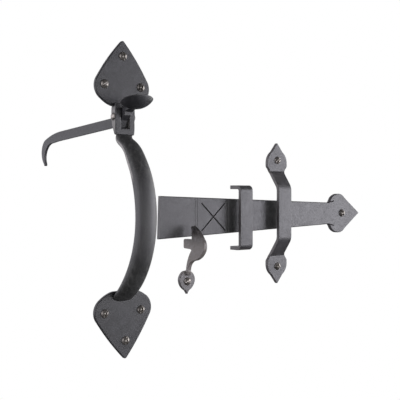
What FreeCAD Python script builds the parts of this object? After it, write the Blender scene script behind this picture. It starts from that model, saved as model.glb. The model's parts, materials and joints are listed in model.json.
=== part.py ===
import FreeCAD, Part
import math
import os

import Sketcher
from FreeCAD import Placement, Rotation, Vector

# Suffolk thumb latch set, in millimetres.
# The door face is the plane Y = 0: the hardware stands out of it towards -Y, +X runs
# along the latch bar and +Z is up. The origin is the middle of the handle.

doc = FreeCAD.newDocument("thumb_latch")
sheet = doc.addObject("Spreadsheet::Sheet", "dims")

DIMENSIONS = [
    # handle
    ("plate_thick", 3.0),
    ("handle_half", 114.2),
    ("lower_tip", 116.2),
    ("screw_side_x", 15.3),
    ("screw_side_z", 81.8),
    ("screw_tip_z", 103.1),
    ("plate_inner_z", 66.5),
    ("lower_plate_spread", 1.2),
    ("lower_plate_lean", 2.2),
    ("lower_tip_screw_x", 2.0),
    ("housing_width", 16.8),
    ("housing_depth", 6.0),
    ("housing_brow", 2.3),
    ("housing_back_lift", 3.4),
    ("housing_back_slope", 10.5),
    ("housing_foot_z", 46.0),
    ("slot_width", 7.0),
    ("slot_foot_z", 50.6),
    ("grip_radius", 72.2),
    ("grip_centre_y", 39.3),
    ("grip_centre_z", -12.6),
    ("grip_half_width", 8.0),
    ("grip_half_thick", 6.2),
    ("grip_top_width", 6.4),
    ("grip_top_thick", 2.6),
    ("grip_foot_width", 9.0),
    ("grip_foot_thick", 2.2),
    # thumb lever
    ("pivot_y", -3.0),
    ("pivot_z", 59.0),
    ("pin_radius", 2.0),
    ("pin_seat_radius", 2.05),
    ("lever_bore_radius", 2.07),
    ("pin_head_radius", 2.8),
    ("pin_head_height", 1.5),
    ("pin_head_gap", 0.05),
    ("lever_thick", 6.2),
    ("tail_thick", 2.2),
    ("lever_joint_y", -8.5),
    ("saucer_y", -21.2),
    ("saucer_z", 69.0),
    ("saucer_tilt", -20.7),
    ("saucer_lift", 10.95),
    ("saucer_width", 16.8),
    ("saucer_length", 13.6),
    ("saucer_height", 16.3),
    ("dish_share", 0.95),
    ("dish_height", 14.4),
    # latch bar
    ("bar_centre_z", -14.0),
    ("bar_gap", 0.5),
    ("bar_thick", 3.0),
    ("bar_end_x", 32.6),
    ("bar_end_half", 16.0),
    ("bar_end_skew", 1.2),
    ("bar_neck_x", 216.0),
    ("bar_neck_half", 9.8),
    ("bar_tip_x", 261.0),
    ("bar_lobe_half", 17.8),
    ("bar_pivot_x", 236.5),
    ("bar_bore_radius", 2.56),
    ("box_left_x", 67.5),
    ("box_right_x", 98.2),
    ("groove_depth", 0.5),
    ("groove_width", 1.5),
    ("cross_inset", 2.6),
    ("cross_half", 11.4),
    ("line_width", 0.7),
    ("line_half_gap", 1.1),
    # guide strap
    ("strap_x", 154.7),
    ("strap_centre_z", -13.0),
    ("strap_front", 12.6),
    ("strap_half_width", 7.4),
    ("strap_half_straight", 21.8),
    ("strap_half_bend", 35.4),
    ("strap_half_length", 60.0),
    ("strap_screw_half", 45.3),
    ("spade_half_width", 11.3),
    # staple
    ("staple_x", 110.6),
    ("staple_centre_z", -15.7),
    ("staple_width", 13.0),
    ("staple_front", 13.4),
    ("staple_half_height", 26.2),
    # keep
    ("keep_x", 58.4),
    ("keep_thick", 3.5),
    ("keep_ledge_z", -31.3),
    ("keep_screw_z", -64.2),
    # screws
    ("head_radius", 3.25),
    ("head_height", 2.3),
    ("slot_cut_width", 1.1),
    ("slot_cut_depth", 1.3),
    ("shoulder_radius", 2.25),
    ("screw_hole_radius", 2.45),
    ("thread_radius", 2.0),
    ("thread_length", 3.6),
    ("thread_point", 0.8),
    ("pivot_shoulder_radius", 2.5),
    ("pivot_head_radius", 3.45),
    ("pivot_head_gap", 0.3),
]

for row, (alias, value) in enumerate(DIMENSIONS, start=1):
    sheet.set(f"A{row}", alias)
    sheet.set(f"B{row}", str(value))
    sheet.setAlias(f"B{row}", alias)
doc.recompute()

EPS = 1e-3
NODES = []


def dim(alias):
    return float(getattr(sheet, alias))


def bind(obj, prop, formula):
    obj.setExpression(prop, formula)


# ---------------------------------------------------------------- outlines
# An outline is its start point and a list of steps: (x, y) is a straight line to
# that point, (mx, my, x, y) an arc through the first point to the second.


def scaled(values, sx, sy):
    return tuple(v * (sy if i % 2 else sx) for i, v in enumerate(values))


def way_back(start, steps, sx, sy):
    """The steps that return to the start along the path's mirror image."""
    ends = [start] + [step[-2:] for step in steps]
    back = [step[:-2] + ends[i] for i, step in enumerate(steps)]
    return [scaled(step, sx, sy) for step in reversed(back)]


def mirrored(start, steps):
    """Closes a right-hand half outline, drawn from top to bottom, with its mirror image."""
    return start, steps + way_back(start, steps, -1, 1)


def on_side(outline, side):
    """The outline as drawn when side is 1, or upside down when side is -1."""
    start, steps = outline
    return scaled(start, 1, side), [scaled(step, 1, side) for step in steps]


def polygon(points):
    return points[0], [tuple(p) for p in points[1:]] + [tuple(points[0])]


def rectangle(x0, y0, x1, y1):
    return polygon([(x0, y0), (x1, y0), (x1, y1), (x0, y1)])


def stroke(x0, y0, x1, y1, width):
    """A straight groove of the given width between two points."""
    length = math.hypot(x1 - x0, y1 - y0)
    nx = -(y1 - y0) / length * width / 2
    ny = (x1 - x0) / length * width / 2
    return polygon([(x0 + nx, y0 + ny), (x1 + nx, y1 + ny), (x1 - nx, y1 - ny), (x0 - nx, y0 - ny)])


def bent_strip(points, thick, radii):
    """The edge of a strip bent along a line of points, with its middle line's radius at each bend."""
    points = [Vector(x, y, 0) for x, y in points]
    runs = [(b - a).normalize() for a, b in zip(points, points[1:])]
    normals = [Vector(-d.y, d.x, 0) for d in runs]

    def side(offset):
        path = [(points[0] + normals[0] * offset,)]
        for i in range(1, len(points) - 1):
            turn = runs[i - 1].cross(runs[i]).z
            half = math.asin(min(1.0, abs(turn))) / 2
            radius = radii[i - 1]
            reach = radius * math.tan(half)
            inward = (normals[i - 1] + normals[i]).normalize() * math.copysign(1, turn)
            centre = points[i] + inward * (radius / math.cos(half))
            first = points[i] - runs[i - 1] * reach + normals[i - 1] * offset
            last = points[i] + runs[i] * reach + normals[i] * offset
            middle = centre - inward * (radius - math.copysign(offset, turn * offset))
            path += [(first,), (middle, last)]
        return path + [(points[-1] + normals[-1] * offset,)]

    left = side(thick / 2)
    right = side(-thick / 2)
    ends = [step[-1] for step in right]
    steps = [tuple(c for p in step for c in (p.x, p.y)) for step in left[1:]]
    steps.append((ends[-1].x, ends[-1].y))
    for i in range(len(right) - 1, 0, -1):
        middle = right[i][:-1]
        steps.append(tuple(c for p in middle + (ends[i - 1],) for c in (p.x, p.y)))
    start = (left[0][0].x, left[0][0].y)
    return start, steps + [start]


def cap_middle(radius, rise):
    """A point on a spherical cap's edge curve, as (distance from the axis, height)."""
    sphere = (radius**2 + rise**2) / (2 * rise)
    half = math.asin(radius / sphere) / 2
    return sphere * math.sin(half), rise - sphere * (1 - math.cos(half))


def draw(sketch, outline):
    here, steps = outline
    for step in steps:
        begin = Vector(here[0], here[1], 0)
        end = Vector(step[-2], step[-1], 0)
        if len(step) == 2:
            sketch.addGeometry(Part.LineSegment(begin, end))
        else:
            sketch.addGeometry(Part.Arc(begin, Vector(step[0], step[1], 0), end))
        here = step[-2:]


# ---------------------------------------------------------------- feature helpers


def new_body(label, x=None, y=None, z=None):
    body = doc.addObject("PartDesign::Body", label)
    body.Label = label
    for axis, formula in (("x", x), ("y", y), ("z", z)):
        if formula:
            bind(body, f"Placement.Base.{axis}", formula)
    NODES.append(body)
    return body


def new_sketch(body, role, name, outlines=(), lift=None):
    """A sketch on one of the body's own planes, lifted along the plane's normal."""
    sketch = body.newObject("Sketcher::SketchObject", f"{body.Label}_{name}")
    plane = next(p for p in body.Origin.OriginFeatures if p.Role == role)
    sketch.AttachmentSupport = [(plane, "")]
    sketch.MapMode = "FlatFace"
    if lift:
        bind(sketch, "AttachmentOffset.Base.z", lift)
    for outline in outlines:
        draw(sketch, outline)
    return sketch


def add_pad(body, sketch, length):
    feature = body.newObject("PartDesign::Pad", f"{sketch.Name}_pad")
    feature.Profile = sketch
    bind(feature, "Length", length)
    doc.recompute()
    return feature


def add_pocket(body, sketch, length=None):
    """Cuts away from the sketch's normal, by a length or right through."""
    before = body.Shape.Volume
    feature = body.newObject("PartDesign::Pocket", f"{sketch.Name}_pocket")
    feature.Profile = sketch
    if length:
        bind(feature, "Length", length)
    else:
        feature.Type = 1
    doc.recompute()
    if body.Shape.Volume > before - EPS:
        raise RuntimeError(f"{feature.Name} cuts nothing")
    return feature


def add_holes(body, plane, name, spots, radius, lift):
    """Round holes right through the body from one of its planes, at each spot on it."""
    sketch = new_sketch(body, plane, name, lift=lift)
    for i, (x, y) in enumerate(spots):
        sketch.addGeometry(Part.Circle(Vector(x, y, 0), Vector(0, 0, 1), dim(radius)))
        sketch.addConstraint(Sketcher.Constraint("Radius", i, dim(radius)))
        bind(sketch, f"Constraints[{i}]", f"dims.{radius}")
    return add_pocket(body, sketch)


def turn_round(body, outline, axis):
    """A solid turned from a half outline about its sketch's H_Axis or V_Axis."""
    sketch = new_sketch(body, "XY_Plane", "outline", [outline])
    turned = body.newObject("PartDesign::Revolution", f"{body.Label}_turned")
    turned.Profile = sketch
    turned.ReferenceAxis = (sketch, [axis])
    turned.Angle = 360
    doc.recompute()


# ---------------------------------------------------------------- handle


def heart_outline(tip, spread):
    """A handle plate, pointed at the far end; spread moves each of its two lobes outwards."""
    inner = dim("plate_inner_z")
    half = [
        (0.7, tip),
        (12.0 + spread, 100.6, 20.6 + spread, 87.6),
        (22.8 + spread, 79.6, 17.6 + spread, 71.3),
        (13.4 + spread / 2, 68.4, 8.4, inner),
        (0, inner),
    ]
    return mirrored((0, tip), half)


def leaned(point, lean):
    """A sketch point, or an arc's two points, turned about the lower plate's inner end."""
    a = math.radians(lean)
    inner = -dim("plate_inner_z")
    turned = []
    for x, z in zip(point[::2], point[1::2]):
        turned.append(x * math.cos(a) - (z - inner) * math.sin(a))
        turned.append(inner + x * math.sin(a) + (z - inner) * math.cos(a))
    return tuple(turned)


def make_plate(label, side):
    """side is 1 for the plate above the grip and -1 for the one below it, which leans a little."""
    body = new_body(label)
    spread = 0 if side == 1 else dim("lower_plate_spread")
    tip = dim("handle_half") if side == 1 else dim("lower_tip")
    lean = 0 if side == 1 else dim("lower_plate_lean")
    start, steps = on_side(heart_outline(tip, spread), side)
    if lean:
        start = leaned(start, lean)
        steps = [leaned(step, lean) for step in steps]
    spots = [(sx * dim("screw_side_x"), side * dim("screw_side_z")) for sx in (-1, 1)]
    spots.append((0 if side == 1 else dim("lower_tip_screw_x"), side * dim("screw_tip_z")))
    add_pad(body, new_sketch(body, "XZ_Plane", "outline", [(start, steps)]), "dims.plate_thick")
    add_holes(body, "XZ_Plane", "holes", spots, "screw_hole_radius", "dims.plate_thick")


def make_housing():
    """The slotted block that carries the lever's pin, with slightly bowed sides."""
    body = new_body("lever_housing")
    half = dim("housing_width") / 2
    top = dim("plate_inner_z")
    foot = dim("housing_foot_z")
    outline = mirrored(
        (0, top),
        [
            (half - 0.3, top),
            (half, (top + foot + 9.5) / 2, half - 0.3, foot + 9.5),
            (half - 0.2, foot + 4.5, half - 0.7, foot),
            (0, foot),
        ],
    )
    add_pad(body, new_sketch(body, "XZ_Plane", "outline", [outline]), "dims.housing_depth")
    brow_top = top + dim("housing_brow")
    brow = rectangle(0.3 - half, top - 1, half - 0.3, brow_top)
    brow_sketch = new_sketch(body, "XZ_Plane", "brow", [brow], "dims.plate_thick")
    add_pad(body, brow_sketch, "dims.housing_depth - dims.plate_thick")
    back = polygon([(0, foot), (0, foot + dim("housing_back_slope")), (-dim("housing_back_lift"), foot)])
    add_pocket(body, new_sketch(body, "YZ_Plane", "back_slope", [back], "dims.housing_width / 2"))
    slot_half = dim("slot_width") / 2
    slot = rectangle(-slot_half, dim("slot_foot_z"), slot_half, brow_top + 1)
    add_pocket(body, new_sketch(body, "XZ_Plane", "slot", [slot], "dims.housing_depth"))
    pivot = [(dim("pivot_y"), dim("pivot_z"))]
    add_holes(body, "YZ_Plane", "pin_seat", pivot, "pin_seat_radius", "dims.housing_width / 2")


def grip_section(name, y, z, tilt, width, thick):
    """An oval across the grip; tilt turns its plane up from level."""
    oval = doc.addObject("Part::Ellipse", name)
    oval.MajorRadius = width
    oval.MinorRadius = thick
    oval.Placement = Placement(Vector(0, y, z), Rotation(Vector(1, 0, 0), 180 - tilt))
    return oval


def make_grip():
    """An arc of oval bar on a short upright neck; it thins towards both ends."""
    radius = dim("grip_radius")
    neck_z = dim("housing_foot_z")
    top_thick = dim("grip_top_thick")
    top_width = dim("grip_top_width")
    top_angle = math.degrees(math.asin((neck_z - dim("grip_centre_z")) / radius))
    foot_angle = -top_angle - 3
    sections = [
        grip_section("grip_oval_top", -dim("housing_back_lift") - 1.3, neck_z, 0, top_width + 0.5, 1.3),
        grip_section("grip_oval_neck", -5.0, neck_z - 3.6, 25, top_width + 0.4, top_thick + 1.7),
    ]
    for angle in (43, 36, 26, 13, 0, -13, -26, -38, -48, foot_angle):
        upper = angle > 0
        share = min(1.0, abs(angle) / top_angle) ** (3 if upper else 5)
        end_width = top_width if upper else dim("grip_foot_width")
        end_thick = top_thick if upper else dim("grip_foot_thick")
        width = dim("grip_half_width") * (1 - share) + end_width * share
        thick = dim("grip_half_thick") * (1 - share) + end_thick * share
        a = math.radians(angle)
        y = dim("grip_centre_y") - radius * math.cos(a)
        z = dim("grip_centre_z") + radius * math.sin(a)
        name = f"grip_oval_{len(sections)}"
        sections.append(grip_section(name, y, z, angle, width, thick))
    bar = doc.addObject("Part::Loft", "grip_bar")
    bar.Sections = sections
    bar.Solid = True
    door_side = doc.addObject("Part::Box", "grip_door_side")
    for prop, formula in (
        ("Length", "dims.grip_foot_width * 4"),
        ("Width", "dims.handle_half"),
        ("Height", "dims.handle_half"),
        ("Placement.Base.x", "-dims.grip_foot_width * 2"),
        ("Placement.Base.y", "-dims.plate_thick"),
        ("Placement.Base.z", "-dims.handle_half - dims.housing_foot_z"),
    ):
        bind(door_side, prop, formula)
    grip = doc.addObject("Part::Cut", "grip")
    grip.Base = bar
    grip.Tool = door_side
    grip.Label = "grip"
    NODES.append(grip)
    doc.recompute()


# ---------------------------------------------------------------- thumb lever


def make_lever_tail():
    """A thick eye on the pin, then a thinner straight bar with a hooked end."""
    body = new_body("lever_tail")
    joint = dim("lever_joint_y")
    eye = (
        (joint, 59.8),
        [
            (joint, 66.0),
            (-3.6, 65.8),
            (0.4, 65.4),
            (2.6, 64.6, 4.0, 60.2),
            (4.0, 52.4),
            (3.2, 50.9),
            (-3.1, 50.9),
            (-3.8, 53.2, -5.0, 56.8),
            (joint, 59.8),
        ],
    )
    sketch = new_sketch(body, "YZ_Plane", "eye", [eye], "-dims.lever_thick / 2")
    add_pad(body, sketch, "dims.lever_thick")
    tail = (
        (0.0, 60.0),
        [
            (92.0, 55.4),
            (105.9, 53.75, 119.5, 50.2),
            (125.3, 46.4, 127.9, 39.9),
            (126.9, 33.8, 123.2, 28.9),
            (121.6, 27.6, 120.8, 29.0),
            (122.3, 33.9, 121.2, 39.0),
            (117.0, 43.8, 109.4, 46.3),
            (98.5, 47.4),
            (0.0, 52.8),
            (0.0, 60.0),
        ],
    )
    sketch = new_sketch(body, "YZ_Plane", "tail", [tail], "-dims.tail_thick / 2")
    add_pad(body, sketch, "dims.tail_thick")
    pivot = [(dim("pivot_y"), dim("pivot_z"))]
    add_holes(body, "YZ_Plane", "bore", pivot, "lever_bore_radius", "dims.lever_thick / 2")


def make_thumb_piece():
    """A shallow oval bowl, tilted up at its free side, on a short neck."""
    body = new_body("thumb_piece")
    joint = dim("lever_joint_y")
    neck = polygon(
        [
            (joint, 59.8),
            (joint, 66.0),
            (-11.7, 65.3),
            (-13.5, 65.3),
            (-18.5, 64.2),
            (-15.5, 63.9),
            (-12.0, 63.2),
            (-10.4, 62.2),
            (-10.0, 59.8),
        ]
    )
    middle = Vector(0, dim("saucer_y"), dim("saucer_z"))
    lean = Rotation(Vector(1, 0, 0), dim("saucer_tilt"))
    centre = middle + lean.multVec(Vector(0, 0, dim("saucer_lift")))
    saucer = body.newObject("PartDesign::AdditiveEllipsoid", "saucer")
    saucer.Placement = Placement(centre, lean)
    bind(saucer, "Radius1", "dims.saucer_height")
    bind(saucer, "Radius2", "dims.saucer_width")
    bind(saucer, "Radius3", "dims.saucer_length")
    over = body.newObject("PartDesign::SubtractiveBox", "over")
    for prop in ("Length", "Width", "Height"):
        bind(over, prop, "dims.saucer_width * 3")
    half = dim("saucer_width") * 1.5
    over.Placement = Placement(middle + lean.multVec(Vector(-half, -half, 0)), lean)
    dish = body.newObject("PartDesign::SubtractiveEllipsoid", "dish")
    dish.Placement = Placement(centre, lean)
    bind(dish, "Radius1", "dims.dish_height")
    bind(dish, "Radius2", "dims.saucer_width * dims.dish_share")
    bind(dish, "Radius3", "dims.saucer_length * dims.dish_share")
    doc.recompute()
    sketch = new_sketch(body, "YZ_Plane", "neck", [neck], "-dims.lever_thick / 2")
    add_pad(body, sketch, "dims.lever_thick")


def make_pivot_pin():
    """A plain pin along X, riveted over into a low dome at each end."""
    body = new_body("pivot_pin", y="dims.pivot_y", z="dims.pivot_z")
    half = dim("housing_width") / 2 + dim("pin_head_gap")
    radius = dim("pin_radius")
    head = dim("pin_head_radius")
    rise = dim("pin_head_height")
    out, up = cap_middle(head, rise)
    outline = (
        (-half - rise, 0),
        [
            (-half - up, out, -half, head),
            (-half, radius),
            (half, radius),
            (half, head),
            (half + up, out, half + rise, 0),
            (-half - rise, 0),
        ],
    )
    turn_round(body, outline, "H_Axis")


# ---------------------------------------------------------------- screws


def make_screw(label, x, z, slot_angle, seat, shoulder, head):
    """A slotted dome-head screw along +Y: shoulder in the plate, thread past the door face."""
    body = new_body(label, x, f"-({seat})", z)
    doc.recompute()
    under = -body.Placement.Base.y
    head_radius = dim(head)
    rise = dim("head_height")
    thread_end = under + dim("thread_length")
    out, up = cap_middle(head_radius, rise)
    outline = (
        (0, -rise),
        [
            (out, -up, head_radius, 0),
            (dim(shoulder), 0),
            (dim(shoulder), under),
            (dim("thread_radius"), under),
            (dim("thread_radius"), thread_end),
            (dim("thread_radius") - dim("thread_point"), thread_end + dim("thread_point")),
            (0, thread_end + dim("thread_point")),
            (0, -rise),
        ],
    )
    turn_round(body, outline, "V_Axis")
    a = math.radians(slot_angle)
    x = (head_radius + 1) * math.cos(a)
    z = (head_radius + 1) * math.sin(a)
    cut = stroke(-x, -z, x, z, dim("slot_cut_width"))
    sketch = new_sketch(body, "XZ_Plane", "slot", [cut], "dims.head_height")
    add_pocket(body, sketch, "dims.slot_cut_depth")


def make_fixing_screws():
    upper = "dims.strap_centre_z + dims.strap_screw_half"
    lower = "dims.strap_centre_z - dims.strap_screw_half"
    for label, x, z, slot_angle in (
        ("screw_top_left", "-dims.screw_side_x", "dims.screw_side_z", 25),
        ("screw_top_right", "dims.screw_side_x", "dims.screw_side_z", 72),
        ("screw_top_tip", None, "dims.screw_tip_z", 105),
        ("screw_bottom_left", "-dims.screw_side_x", "-dims.screw_side_z", 62),
        ("screw_bottom_right", "dims.screw_side_x", "-dims.screw_side_z", 75),
        ("screw_bottom_tip", "dims.lower_tip_screw_x", "-dims.screw_tip_z", 84),
        ("screw_strap_upper", "dims.strap_x", upper, 40),
        ("screw_strap_lower", "dims.strap_x", lower, 118),
        ("screw_keep", "dims.keep_x", "dims.keep_screw_z", 15),
    ):
        make_screw(label, x, z, slot_angle, "dims.plate_thick", "shoulder_radius", "head_radius")


def make_pivot_screw():
    seat = "dims.bar_gap + dims.bar_thick + dims.pivot_head_gap"
    shoulder = "pivot_shoulder_radius"
    head = "pivot_head_radius"
    make_screw("pivot_screw", "dims.bar_pivot_x", "dims.bar_centre_z", 90, seat, shoulder, head)


# ---------------------------------------------------------------- latch bar


def bar_outline():
    """Tapered bar with an arrow head, drawn clockwise; its left end is cut slightly out of square."""
    end = dim("bar_end_x")
    end_half = dim("bar_end_half")
    neck = dim("bar_neck_x")
    neck_half = dim("bar_neck_half")
    lobe = dim("bar_lobe_half")
    upper = [
        (neck + 3.4, neck_half),
        (neck + 4.9, neck_half + 1.9, neck + 6.2, lobe - 3.9),
        (neck + 10.3, lobe - 1.1, neck + 16.4, lobe),
        (neck + 21.2, lobe - 0.9, neck + 25.0, lobe - 3.7),
        (dim("bar_tip_x") - 0.8, 0.5),
        (dim("bar_tip_x"), 0),
    ]
    start = (end, end_half)
    lower = way_back(start, upper, 1, -1)
    lower[-1] = (end - dim("bar_end_skew"), -end_half - 0.7)
    return start, upper + lower + [start]


def make_latch_bar():
    body = new_body("latch_bar", y="-dims.bar_gap", z="dims.bar_centre_z")
    add_pad(body, new_sketch(body, "XZ_Plane", "outline", [bar_outline()]), "dims.bar_thick")
    pivot = [(dim("bar_pivot_x"), 0)]
    add_holes(body, "XZ_Plane", "bore", pivot, "bar_bore_radius", "dims.bar_thick")
    left = dim("box_left_x") + dim("cross_inset")
    right = dim("box_right_x") - dim("cross_inset")
    for name, side in (("stroke_down", 1), ("stroke_up", -1)):
        half = side * dim("cross_half")
        cut = stroke(left, half, right, -half, dim("groove_width"))
        sketch = new_sketch(body, "XZ_Plane", name, [cut], "dims.bar_thick")
        add_pocket(body, sketch, "dims.groove_depth")
    notch = dim("bar_neck_x") + 3.0
    for name, side in (("notch_upper", 1), ("notch_lower", -1)):
        z = side * (dim("bar_neck_half") + 0.2)
        cut = stroke(notch, z, notch + 6.5, z + side * 0.8, dim("groove_width"))
        sketch = new_sketch(body, "XZ_Plane", name, [cut], "dims.bar_thick")
        add_pocket(body, sketch, "dims.groove_depth * 3")
    over = dim("bar_end_half")
    lines = []
    for middle in (dim("box_left_x"), dim("box_right_x")):
        for side in (-1, 1):
            x = middle + side * dim("line_half_gap")
            lines.append(stroke(x, -over, x, over, dim("line_width")))
    sketch = new_sketch(body, "XZ_Plane", "lines", lines, "dims.bar_thick")
    add_pocket(body, sketch, "dims.groove_depth / 2")


# ---------------------------------------------------------------- guide strap, staple, keep


def strap_outline():
    """Front view of the strap: a straight band with a spade at each end."""
    band = dim("strap_half_width")
    bend = dim("strap_half_bend")
    wide = dim("spade_half_width")
    tip = dim("strap_half_length")
    spade = [
        (6.2, tip - 7.6),
        (wide - 0.9, tip - 12.6, wide, tip - 17.4),
        (wide - 0.3, tip - 20.4, wide - 1.6, bend + 2.6),
        (wide - 2.6, bend + 1.0, band, bend - 1.4),
        (band, 0),
    ]
    return mirrored((0, tip), spade + way_back((0, tip), spade, 1, -1))


def make_guide_strap():
    body = new_body("guide_strap", x="dims.strap_x", z="dims.strap_centre_z")
    thick = dim("plate_thick")
    flat = -thick / 2
    proud = thick / 2 - dim("strap_front")
    heights = [dim("strap_half_length"), dim("strap_half_bend"), dim("strap_half_straight")]
    line = [(flat, heights[0]), (flat, heights[1]), (proud, heights[2])]
    line += [(y, -z) for y, z in reversed(line)]
    profile = bent_strip(line, thick, [4.0, 9.0, 9.0, 4.0])
    sketch = new_sketch(body, "YZ_Plane", "profile", [profile], "-dims.spade_half_width")
    add_pad(body, sketch, "dims.spade_half_width * 2")
    wide = dim("spade_half_width") + 5
    tall = dim("strap_half_length") + 5
    waste = [rectangle(-wide, -tall, wide, tall), strap_outline()]
    add_pocket(body, new_sketch(body, "XZ_Plane", "outline", waste, "dims.strap_front + 1"))
    spots = [(0, side * dim("strap_screw_half")) for side in (-1, 1)]
    add_holes(body, "XZ_Plane", "holes", spots, "screw_hole_radius", "dims.strap_front + 1")


def make_staple():
    body = new_body("staple", x="dims.staple_x - dims.staple_width / 2", z="dims.staple_centre_z")
    thick = dim("plate_thick")
    proud = thick / 2 - dim("staple_front")
    arm = dim("staple_half_height") - thick / 2
    line = [(0, arm), (proud, arm), (proud, -arm), (0, -arm)]
    profile = bent_strip(line, thick, [3.0, 3.0])
    add_pad(body, new_sketch(body, "YZ_Plane", "profile", [profile]), "dims.staple_width")


def make_keep():
    """A hook that stands on edge, its square tenon on the door and a spade foot below."""
    body = new_body("keep", x="dims.keep_x")
    ledge = dim("keep_ledge_z")
    back = -10.2
    hook = (
        (back, ledge),
        [
            (back, -24.0),
            (-10.3, -21.3, -12.3, -21.6),
            (-18.2, -25.3, -22.8, -30.4),
            (-25.4, -35.6, -24.2, -40.4),
            (-19.6, -45.0, -12.4, -47.6),
            (-7.4, -50.6, -5.4, -56.0),
            (-4.6, -58.6, -2.5, -60.0),
            (-1.5, -60.0),
            (-1.5, -57.0),
            (-3.0, -55.2),
            (-5.4, -46.6, -9.8, -39.6),
            (-8.6, -38.9),
            (-1.4, -38.6),
            (-0.4, -38.2, 0, -37.2),
            (0, ledge - 1.5),
            (-0.45, ledge - 0.45, -1.5, ledge),
            (back, ledge),
        ],
    )
    sketch = new_sketch(body, "YZ_Plane", "hook", [hook], "-dims.keep_thick / 2")
    add_pad(body, sketch, "dims.keep_thick")
    foot = mirrored(
        (0, -55.8),
        [
            (2.8, -56.2),
            (6.3, -59.3, 7.4, -63.0),
            (6.1, -67.2, 2.3, -70.9),
            (0.9, -72.4, 0, -74.2),
        ],
    )
    add_pad(body, new_sketch(body, "XZ_Plane", "foot", [foot]), "dims.plate_thick")
    spots = [(0, dim("keep_screw_z"))]
    add_holes(body, "XZ_Plane", "hole", spots, "screw_hole_radius", "dims.plate_thick * 3")


# ---------------------------------------------------------------- build and write

make_plate("top_plate", 1)
make_plate("bottom_plate", -1)
make_housing()
make_grip()
make_lever_tail()
make_thumb_piece()
make_pivot_pin()
make_latch_bar()
make_pivot_screw()
make_guide_strap()
make_staple()
make_keep()
make_fixing_screws()
doc.recompute()

for obj in doc.Objects:
    if "Invalid" in obj.State or "Error" in obj.State:
        raise RuntimeError(f"{obj.Name} is not valid")

os.makedirs("parts", exist_ok=True)
for node in NODES:
    shape = node.Shape
    if shape.isNull() or not shape.isValid() or len(shape.Solids) != 1:
        raise RuntimeError(f"{node.Label} is not one valid solid")
    shape.exportStep(f"parts/{node.Label}.step")
    print(f"{node.Label}: {shape.Volume:.1f} mm3")
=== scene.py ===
import json
import math

import bmesh
import bpy
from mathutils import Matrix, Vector


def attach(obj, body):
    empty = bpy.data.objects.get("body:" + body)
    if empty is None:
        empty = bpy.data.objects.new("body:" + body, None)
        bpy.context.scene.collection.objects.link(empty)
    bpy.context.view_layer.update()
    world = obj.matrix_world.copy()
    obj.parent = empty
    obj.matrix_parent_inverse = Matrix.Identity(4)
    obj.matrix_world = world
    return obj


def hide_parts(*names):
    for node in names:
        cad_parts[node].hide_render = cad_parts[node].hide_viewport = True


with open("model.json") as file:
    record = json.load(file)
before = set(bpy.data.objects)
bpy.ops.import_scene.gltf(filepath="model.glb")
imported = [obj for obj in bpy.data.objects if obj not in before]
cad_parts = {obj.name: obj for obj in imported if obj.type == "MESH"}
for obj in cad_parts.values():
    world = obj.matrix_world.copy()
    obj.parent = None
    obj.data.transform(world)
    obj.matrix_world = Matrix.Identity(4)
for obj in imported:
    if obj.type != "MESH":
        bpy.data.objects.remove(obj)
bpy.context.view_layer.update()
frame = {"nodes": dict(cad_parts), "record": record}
nodes = frame["nodes"]
record = frame["record"]
scene = bpy.context.scene

MM = 0.001
# Corners closer together than this are one corner.
WELD = 0.002 * MM
# Two vertices this close in depth lie on the same flat face.
SAME_DEPTH = 0.001 * MM
# How strongly large faces pull the shading normals of their borders.
FACE_WEIGHT = 80

slot_of = {part["node"]: part["material_slot"] for part in record["subparts"]}
body_of = {node: body for body, members in record["behaviour"]["bodies"].items() for node in members}


# ---------------------------------------------------------------- materials

# Scales of the noise textures, in waves per metre.
MOTTLE, HAMMER, STREAKS, GRIT, FINE = 55, 38, 160, 700, 1600
# Depths of the hammer dents and of the two grains.
DENT_DEPTH, GRIT_DEPTH, FINE_DEPTH = 0.25 * MM, 0.04 * MM, 0.02 * MM
# Colour of rubbed edges, and how far the rubbing reaches from an edge.
RUBBED, RUB_REACH = (0.10, 0.095, 0.09), 0.9 * MM
BAKED_FINISH_IOR = 1.55
# The direction in which the left sides with the painted highlight face: left and a little back.
LEFT_AND_BACK = (-0.954, 0.3, 0)


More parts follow.
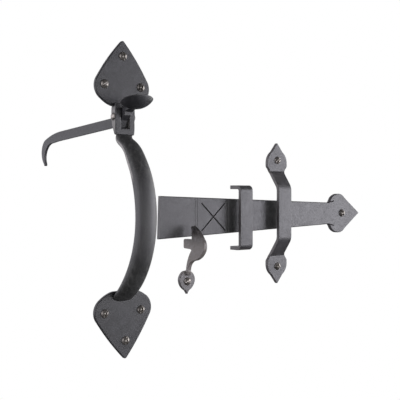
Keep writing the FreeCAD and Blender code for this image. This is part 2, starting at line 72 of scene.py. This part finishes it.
class Shader:
    """A small helper that adds nodes to one material's tree."""

    def __init__(self, name):
        self.material = bpy.data.materials.new(name)
        self.material.use_nodes = True
        self.tree = self.material.node_tree
        self.out = self.tree.nodes["Principled BSDF"]

    def node(self, kind, **settings):
        made = self.tree.nodes.new(kind)
        for key, value in settings.items():
            setattr(made, key, value)
        return made

    def link(self, a, b):
        self.tree.links.new(a, b)

    def noise(self, scale, detail, rough, stretch=None):
        coords = self.node("ShaderNodeTexCoord").outputs["Object"]
        if stretch:
            mapping = self.node("ShaderNodeMapping")
            mapping.inputs["Scale"].default_value = stretch
            self.link(coords, mapping.inputs["Vector"])
            coords = mapping.outputs["Vector"]
        made = self.node("ShaderNodeTexNoise")
        made.inputs["Scale"].default_value = scale
        made.inputs["Detail"].default_value = detail
        made.inputs["Roughness"].default_value = rough
        self.link(coords, made.inputs["Vector"])
        return made.outputs["Fac"]

    def ramp(self, value, low, high, to_low=0.0, to_high=1.0):
        made = self.node("ShaderNodeMapRange")
        made.inputs["From Min"].default_value = low
        made.inputs["From Max"].default_value = high
        made.inputs["To Min"].default_value = to_low
        made.inputs["To Max"].default_value = to_high
        self.link(value, made.inputs["Value"])
        return made.outputs["Result"]

    def height(self, start, end):
        """0 up to the first height and 1 past the second, upward or downward."""
        coords = self.node("ShaderNodeTexCoord").outputs["Object"]
        split = self.node("ShaderNodeSeparateXYZ")
        self.link(coords, split.inputs[0])
        return self.ramp(split.outputs["Z"], start, end)

    def toward(self, direction):
        """The cosine of the angle between the surface and a direction."""
        dot = self.node("ShaderNodeVectorMath", operation="DOT_PRODUCT")
        self.link(self.node("ShaderNodeTexCoord").outputs["Normal"], dot.inputs[0])
        dot.inputs[1].default_value = direction
        return dot.outputs["Value"]

    def product(self, a, b):
        made = self.node("ShaderNodeMath", operation="MULTIPLY")
        self.link(a, made.inputs[0])
        self.link(b, made.inputs[1])
        return made.outputs[0]

    def sideways(self):
        """1 on sheared sides that look along the door, 0 on faces parallel to it: the mask of the painted
        side sheen.
        """
        size = self.node("ShaderNodeMath", operation="ABSOLUTE")
        self.link(self.toward((0, 1, 0)), size.inputs[0])
        return self.ramp(size.outputs[0], 0.9, 0.3)

    def leftward(self, low, high):
        """1 on faces that look left and a little back between two heights, 0 elsewhere: the mask of the
        painted highlight on left sides.

        It fades over 6 mm at the lower height and 4 mm at the upper.
        """
        above = self.height(low - 3 * MM, low + 3 * MM)
        below = self.height(high + 2 * MM, high - 2 * MM)
        facing = self.ramp(self.toward(LEFT_AND_BACK), 0.86, 0.95)
        return self.product(facing, self.product(above, below))

    def mix(self, share, a, b):
        made = self.node("ShaderNodeMix", data_type="RGBA")
        self.link(share, made.inputs["Factor"])
        for value, socket in ((a, made.inputs["A"]), (b, made.inputs["B"])):
            if isinstance(value, tuple):
                socket.default_value = value + (1.0,)
            else:
                self.link(value, socket)
        return made.outputs["Result"]

    def edges(self, width):
        """1 on edges that a hand or tool would rub, 0 on flat faces."""
        bevel = self.node("ShaderNodeBevel", samples=6)
        bevel.inputs["Radius"].default_value = width
        dot = self.node("ShaderNodeVectorMath", operation="DOT_PRODUCT")
        self.link(bevel.outputs["Normal"], dot.inputs[0])
        self.link(self.node("ShaderNodeNewGeometry").outputs["Normal"], dot.inputs[1])
        return self.ramp(dot.outputs["Value"], 0.995, 0.80)

    def bump(self, layers):
        """Stacks bumps, each given as (height, strength, distance)."""
        previous = None
        for height, strength, distance in layers:
            made = self.node("ShaderNodeBump")
            made.inputs["Strength"].default_value = strength
            made.inputs["Distance"].default_value = distance
            self.link(height, made.inputs["Height"])
            if previous:
                self.link(previous, made.inputs["Normal"])
            previous = made.outputs["Normal"]
        self.link(previous, self.out.inputs["Normal"])


def brighter(colour, times):
    return tuple(channel * times for channel in colour)


def satin_black(name, dark, light, rough, wear=0.5, metal=0.0, brush=(1, 1, 1), bands=(), side=None,
                left=None):
    """Black baked finish on forged iron: a fine grain, a faint mottle and rubbed edges.

    The colour wanders between dark and light. Each band (start, end, colour) fades it to
    the band's own between two heights in millimetres. Side is a lighter colour painted on
    sheared sides, a painted sheen, and left (low, high, colour) a painted highlight on the
    faces that look left between two heights. Brush stretches the streaks.
    """
    s = Shader(name)
    mottle = s.noise(MOTTLE, 4.0, 0.6)
    fine = s.noise(FINE, 3.0, 0.6)
    grit = s.noise(GRIT, 4.0, 0.65)
    hammer = s.noise(HAMMER, 2.0, 0.5)
    base = s.mix(s.ramp(mottle, 0.32, 0.7), dark, light)
    # Height bands; those of the grip and the keep are painted light and shade.
    for start, end, colour in bands:
        base = s.mix(s.height(start * MM, end * MM), base, colour)
    # Painted sheen: sheared sides are painted lighter, as if they caught more light.
    if side:
        base = s.mix(s.sideways(), base, side)
    # Painted highlight: faces that look left are painted much lighter between two heights, for the
    # reflection of the bright walls behind and to the left.
    if left:
        low, high, colour = left
        base = s.mix(s.leftward(low * MM, high * MM), base, colour)
    streaks = s.noise(STREAKS, 3.0, 0.6, brush)
    base = s.mix(s.ramp(streaks, 0.47, 0.72, 0.0, 0.6), base, brighter(light, 2.2))
    speck = s.mix(s.ramp(fine, 0.50, 0.74, 0.0, 0.6), base, brighter(light, 2.6))
    rub = s.product(s.edges(RUB_REACH), s.ramp(grit, 0.35, 0.62, 0.15, wear))
    s.link(s.mix(rub, speck, RUBBED), s.out.inputs["Base Color"])
    cloud = s.node("ShaderNodeMath", operation="ADD")
    s.link(s.ramp(grit, 0.3, 0.7, rough - 0.07, rough + 0.07), cloud.inputs[0])
    s.link(s.ramp(streaks, 0.3, 0.7, -0.05, 0.05), cloud.inputs[1])
    s.link(cloud.outputs[0], s.out.inputs["Roughness"])
    s.out.inputs["Metallic"].default_value = metal
    s.out.inputs["IOR"].default_value = BAKED_FINISH_IOR
    s.bump([(hammer, 0.5, DENT_DEPTH), (grit, 0.35, GRIT_DEPTH), (fine, 0.35, FINE_DEPTH)])
    return s.material


# Colours are linear. Deep black of the plates and the lever, and its lighter mottle.
DEEP, DEEP_LIGHT = (0.016, 0.016, 0.018), (0.028, 0.028, 0.031)
# Greyer black of the flat bar and strap stock, and its lighter mottle.
SHEET, SHEET_LIGHT = (0.020, 0.020, 0.022), (0.036, 0.035, 0.038)
# Bands are (start, end, colour), with heights in millimetres. The middle of the grip is
# painted greyer than its ends: painted light where the round bar catches the soft light.
GRIP_LIGHT_BANDS = ((-50, -32, (0.078, 0.077, 0.081)), (4, 22, (0.034, 0.034, 0.034)))
# The keep's bands are painted light and shade: its arm is painted a lighter brown than its grey foot and
# its top is painted dark.
KEEP_LIGHT_AND_SHADE_BANDS = ((-60, -56, (0.185, 0.163, 0.146)), (-38, -24, (0.018, 0.016, 0.014)))
# The tail is painted greyer towards its hooked end.
LEVER_BANDS = ((53, 42, (0.060, 0.059, 0.064)),)

finishes = {
    # Faces that look left, 48 to 65 mm up, carry a painted highlight.
    "plate_black": satin_black("plate_finish_and_sheen", DEEP, DEEP_LIGHT, 0.42, left=(48, 65, (0.22, 0.21, 0.20))),
    # The grip carries painted light bands and a painted highlight on faces that look left, 14 to 60 mm
    # up.
    "grip_black": satin_black("grip_finish_and_sheen", (0.022, 0.023, 0.022), (0.052, 0.052, 0.051), 0.50,
                              brush=(3, 3, 0.2), bands=GRIP_LIGHT_BANDS, left=(14, 60, (0.38, 0.36, 0.35))),
    "lever_black": satin_black("lever_finish", DEEP, (0.024, 0.024, 0.027), 0.40, bands=LEVER_BANDS),
    # The sheared sides of the bar and the strap get a lighter painted sheen.
    "bar_black": satin_black("bar_finish_and_sheen", SHEET, SHEET_LIGHT, 0.42, side=(0.090, 0.086, 0.090)),
    "strap_black": satin_black("strap_finish_and_sheen", SHEET, SHEET_LIGHT, 0.42, side=(0.120, 0.112, 0.112)),
    # The keep's bands are painted light and shade.
    "keep_black": satin_black("keep_finish_light_and_shade", (0.060, 0.055, 0.055), (0.125, 0.118, 0.120), 0.42,
                              wear=0.16, bands=KEEP_LIGHT_AND_SHADE_BANDS),
    "screw_black": satin_black("screw_finish", (0.11, 0.102, 0.094), (0.26, 0.24, 0.22), 0.30, metal=0.7),
}


# ---------------------------------------------------------------- pieces


def solid_of(node):
    """The CAD node's solid as a bmesh, with its split corners joined again."""
    work = bmesh.new()
    work.from_mesh(nodes[node].data)
    bmesh.ops.remove_doubles(work, verts=work.verts, dist=WELD)
    return work


def flatten(work):
    """Joins the triangles of each flat face, so that an edge rounds evenly."""
    bmesh.ops.dissolve_limit(work, angle_limit=math.radians(0.4), verts=work.verts, edges=work.edges)


def sharp_edges(work, least, wanted=None):
    """The edges that turn by more than the least angle, in degrees, and are wanted."""
    found = []
    for edge in work.edges:
        if len(edge.link_faces) == 2 and edge.calc_face_angle() > math.radians(least):
            if wanted is None or wanted(edge):
                found.append(edge)
    return found


def round_edges(work, edges, width, segments):
    bmesh.ops.bevel(
        work, geom=edges, offset=width, segments=segments, profile=0.5,
        affect="EDGES", offset_type="OFFSET", clamp_overlap=False, loop_slide=True,
    )


def slab_of(node):
    """A plain slab with the outline of the node's back face and its full thickness."""
    source = solid_of(node)
    back = max(v.co.y for v in source.verts)
    front = min(v.co.y for v in source.verts)
    made = bmesh.new()
    rear, fore = {}, {}
    faces = [f for f in source.faces if all(abs(v.co.y - back) < SAME_DEPTH for v in f.verts)]
    for face in faces:
        for v in face.verts:
            if v.index not in rear:
                rear[v.index] = made.verts.new(v.co)
                fore[v.index] = made.verts.new((v.co.x, front, v.co.z))
        made.faces.new([rear[v.index] for v in face.verts])
        made.faces.new([fore[v.index] for v in reversed(face.verts)])
        for loop in face.loops:
            inside = [f for f in loop.edge.link_faces if f in faces]
            if len(inside) == 1:
                a, b = loop.vert.index, loop.link_loop_next.vert.index
                made.faces.new([rear[b], rear[a], fore[a], fore[b]])
    source.free()
    bmesh.ops.recalc_face_normals(made, faces=made.faces)
    return made


def shade_evenly(piece, keep_sharp=False):
    shade = piece.modifiers.new("shade", "WEIGHTED_NORMAL")
    shade.weight = FACE_WEIGHT
    shade.keep_sharp = keep_sharp


def object_of(work, name):
    """Turns a bmesh into an object and frees it."""
    mesh = bpy.data.meshes.new(name)
    work.to_mesh(mesh)
    work.free()
    made = bpy.data.objects.new(name, mesh)
    scene.collection.objects.link(made)
    return made


def place(work, node):
    """Turns a bmesh into the shown piece that stands for the node."""
    for face in work.faces:
        face.smooth = True
    piece = object_of(work, f"{node}_forged")
    piece.data.materials.append(finishes[slot_of[node]])
    shade_evenly(piece)
    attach(piece, body_of[node])
    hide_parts(node)
    return piece


def forge(node, width, segments, wanted=None):
    """The node's solid with its sharp edges rounded."""
    work = solid_of(node)
    flatten(work)
    round_edges(work, sharp_edges(work, 30, wanted), width, segments)
    return place(work, node)


def chisel(start, end, face_y, width, depth):
    """A V-shaped wedge whose keel rises at both ends, set on a face at depth face_y."""
    a, b = Vector((start[0], face_y, start[1])), Vector((end[0], face_y, end[1]))
    along = (b - a).normalized()
    across = Vector((0, -1, 0)).cross(along) * width
    up = Vector((0, -1, 0)) * depth
    work = bmesh.new()
    for corner in (a - along * depth, b + along * depth):
        for side in (-1, 1):
            work.verts.new(corner + across * side + up)
    for keel in (a + along * depth, b - along * depth):
        work.verts.new(keel - up)
    bmesh.ops.convex_hull(work, input=work.verts)
    return object_of(work, "chisel")


def cut(piece, strokes):
    """Cuts the strokes out of the piece and keeps the result as its mesh."""
    chisels = [chisel(*stroke) for stroke in strokes]
    piece.modifiers.clear()
    for tool in chisels:
        modifier = piece.modifiers.new("cut", "BOOLEAN")
        modifier.operation = "DIFFERENCE"
        modifier.solver = "EXACT"
        modifier.object = tool
    bpy.context.view_layer.update()
    graph = bpy.context.evaluated_depsgraph_get()
    result = bpy.data.meshes.new_from_object(piece.evaluated_get(graph))
    piece.modifiers.clear()
    piece.data = result
    for tool in chisels:
        bpy.data.objects.remove(tool)
    work = bmesh.new()
    work.from_mesh(result)
    for edge in sharp_edges(work, 40):
        edge.smooth = False
    work.to_mesh(result)
    work.free()
    shade_evenly(piece, keep_sharp=True)


# The marks on the bar, in millimetres: X along the bar, heights from its middle line.
# Each cut is (width, depth).
CROSS_LEFT, CROSS_RIGHT, CROSS_TOP, CROSS_BOTTOM = 71.6, 95.9, 10.4, -11.8
FALLING_CUT, RISING_CUT = (1.3, 0.9), (1.2, 0.75)
LINE_PAIRS, LINE_HALF_GAP, LINE_REACH, LINE_CUT = (66.5, 98.2), 1.1, 18, (0.6, 0.14)
NOTCH_START, NOTCH_END, NOTCH_HEIGHT, NOTCH_RISE, NOTCH_CUT = 219.0, 225.8, 10.2, 0.8, (1.1, 1.3)
# The bar's front edges are hammered round, except along this much of its left end.
HAMMERED_EDGE, CRISP_END = 0.8 * MM, 3 * MM


def bar_marks():
    """Each mark as start, end and cut."""
    marks = [
        ((CROSS_LEFT, CROSS_TOP), (CROSS_RIGHT, CROSS_BOTTOM), FALLING_CUT),
        ((CROSS_LEFT, CROSS_BOTTOM), (CROSS_RIGHT, CROSS_TOP), RISING_CUT),
    ]
    for middle in LINE_PAIRS:
        for side in (-1, 1):
            x = middle + side * LINE_HALF_GAP
            marks.append(((x, -LINE_REACH), (x, LINE_REACH), LINE_CUT))
    for side in (-1, 1):
        start = (NOTCH_START, side * NOTCH_HEIGHT)
        end = (NOTCH_END, side * (NOTCH_HEIGHT + NOTCH_RISE))
        marks.append((start, end, NOTCH_CUT))
    return marks


def make_bar():
    """The bar: a slab with hammered front edges, a crisp left end and chiselled marks."""
    work = slab_of("latch_bar")
    flatten(work)
    front = min(v.co.y for v in work.verts)
    crisp_to = min(v.co.x for v in work.verts) + CRISP_END
    middle_z = max(work.verts, key=lambda v: v.co.x).co.z

    def hammered(edge):
        on_front = all(abs(v.co.y - front) < SAME_DEPTH for v in edge.verts)
        return on_front and max(v.co.x for v in edge.verts) > crisp_to

    round_edges(work, sharp_edges(work, 20, hammered), HAMMERED_EDGE, 3)
    piece = place(work, "latch_bar")
    strokes = []
    for start, end, (width, depth) in bar_marks():
        a = (start[0] * MM, middle_z + start[1] * MM)
        b = (end[0] * MM, middle_z + end[1] * MM)
        strokes.append((a, b, front, width * MM, depth * MM))
    cut(piece, strokes)


def dress(node, piece):
    """Shows the CAD solid itself, with a small bevel on all but the smooth grip."""
    for polygon in piece.data.polygons:
        polygon.use_smooth = True
    weld = piece.modifiers.new("weld", "WELD")
    weld.merge_threshold = WELD
    if node != "grip":
        bevel = piece.modifiers.new("edge", "BEVEL")
        bevel.width = 0.12 * MM
        bevel.segments = 2
        bevel.limit_method = "ANGLE"
        bevel.angle_limit = math.radians(32)
        bevel.use_clamp_overlap = True
    shade_evenly(piece)


# Node, width of its rounded edges in millimetres, and segments.
FORGED = (
    ("top_plate", 0.6, 3),
    ("bottom_plate", 0.6, 3),
    ("lever_housing", 0.6, 3),
    ("lever_tail", 0.25, 2),
    ("guide_strap", 0.3, 2),
    ("staple", 0.3, 2),
)
for node, width, segments in FORGED:
    forge(node, width * MM, segments)
# The keep's inner corners stay crisp.
forge("keep", 0.35 * MM, 3, lambda edge: edge.is_convex)
make_bar()

for node, piece in nodes.items():
    piece.data.materials.clear()
    piece.data.materials.append(finishes[slot_of[node]])
    if not piece.hide_render:
        dress(node, piece)


# ---------------------------------------------------------------- stage, light and camera


# What the floor and the world look like to everything but the camera.
FLOOR_GREY, WORLD_GREY = (0.12, 0.12, 0.12), (0.05, 0.05, 0.052)
FLOOR_HEIGHT = -0.35
# Slightly violet light from the key light and the walls.
KEY_TINT, WALL_TINT, WHITE = (1.0, 0.985, 1.07), (1.0, 0.985, 1.05), (1, 1, 1)
# Upright soft lights: name, start and end on the floor plan, middle height, height,
# radiance and colour. Lengths are in metres.
WALLS = (
    ("soft_box", (0.76, -0.99), (1.14, -0.56), -0.26, 1.4, 5.6, KEY_TINT),
    ("right_wall", (1.16, -0.54), (1.30, 0.40), -0.10, 1.4, 3.0, WHITE),
    ("front_strip", (-0.5, -1.5), (0.62, -1.12), -0.06, 0.36, 3.2, WHITE),
    ("side_wall", (-1.0, -0.45), (-1.0, 1.3), 0.0, 2.0, 1.7, WALL_TINT),
    ("back_wall", (-1.0, 1.3), (1.6, 1.3), 0.0, 2.0, 0.9, WALL_TINT),
)
# A point in the middle of the latch that the soft lights face, along X.
LATCH_MIDDLE_X = 0.08
# The camera stands to the left of the latch. It was solved from the outlines.
CAMERA_PLACE = (-0.27994, -0.45177, 0.00305)
CAMERA_LOOKS = (0.6156, 0.7880, -0.0075)
SENSOR_MM, LENS_MM = 36, 65.34


def white_stage():
    """A pale floor that reads as plain white from the camera."""
    bpy.ops.mesh.primitive_plane_add(size=12, location=(0, 0, FLOOR_HEIGHT))
    floor = bpy.context.object
    floor.name = "floor"
    s = Shader("floor_white")
    s.out.inputs["Base Color"].default_value = (*FLOOR_GREY, 1)
    s.out.inputs["Roughness"].default_value = 0.9
    glow = s.node("ShaderNodeEmission")
    seen = s.node("ShaderNodeLightPath").outputs["Is Camera Ray"]
    both = s.node("ShaderNodeMixShader")
    s.link(seen, both.inputs[0])
    s.link(s.out.outputs[0], both.inputs[1])
    s.link(glow.outputs[0], both.inputs[2])
    s.link(both.outputs[0], s.tree.nodes["Material Output"].inputs["Surface"])
    floor.data.materials.append(s.material)


def studio_world():
    """Plain white to the camera and nearly black to everything else."""
    world = bpy.data.worlds.new("studio")
    scene.world = world
    world.use_nodes = True
    tree = world.node_tree
    background = tree.nodes["Background"]
    seen = tree.nodes.new("ShaderNodeLightPath").outputs["Is Camera Ray"]
    mix = tree.nodes.new("ShaderNodeMix")
    mix.data_type = "RGBA"
    mix.inputs["A"].default_value = (*WORLD_GREY, 1)
    mix.inputs["B"].default_value = (1.0, 1.0, 1.0, 1)
    tree.links.new(seen, mix.inputs["Factor"])
    tree.links.new(mix.outputs["Result"], background.inputs["Color"])


def soft_wall(name, start, end, z, height, radiance, colour):
    """An upright soft light standing from start to end, facing the latch."""
    a, b = Vector((*start, z)), Vector((*end, z))
    middle = (a + b) / 2
    facing = Vector((0, 0, 1)).cross(b - a).normalized()
    if facing.dot(Vector((LATCH_MIDDLE_X, 0, z)) - middle) < 0:
        facing = -facing
    data = bpy.data.lights.new(name, "AREA")
    data.shape = "RECTANGLE"
    data.size = (b - a).length
    data.size_y = height
    data.energy = radiance * math.pi * data.size * data.size_y
    data.color = colour
    light = bpy.data.objects.new(name, data)
    scene.collection.objects.link(light)
    light.location = middle
    light.rotation_euler = facing.to_track_quat("-Z", "Y").to_euler()
    light.visible_camera = False


def camera():
    data = bpy.data.cameras.new("camera")
    data.sensor_width = SENSOR_MM
    data.lens = LENS_MM
    data.clip_start = 0.01
    view = bpy.data.objects.new("camera", data)
    scene.collection.objects.link(view)
    view.location = CAMERA_PLACE
    view.rotation_euler = Vector(CAMERA_LOOKS).to_track_quat("-Z", "Y").to_euler()
    scene.camera = view


white_stage()
studio_world()
for wall in WALLS:
    soft_wall(*wall)
camera()
scene.view_settings.view_transform = "Standard"
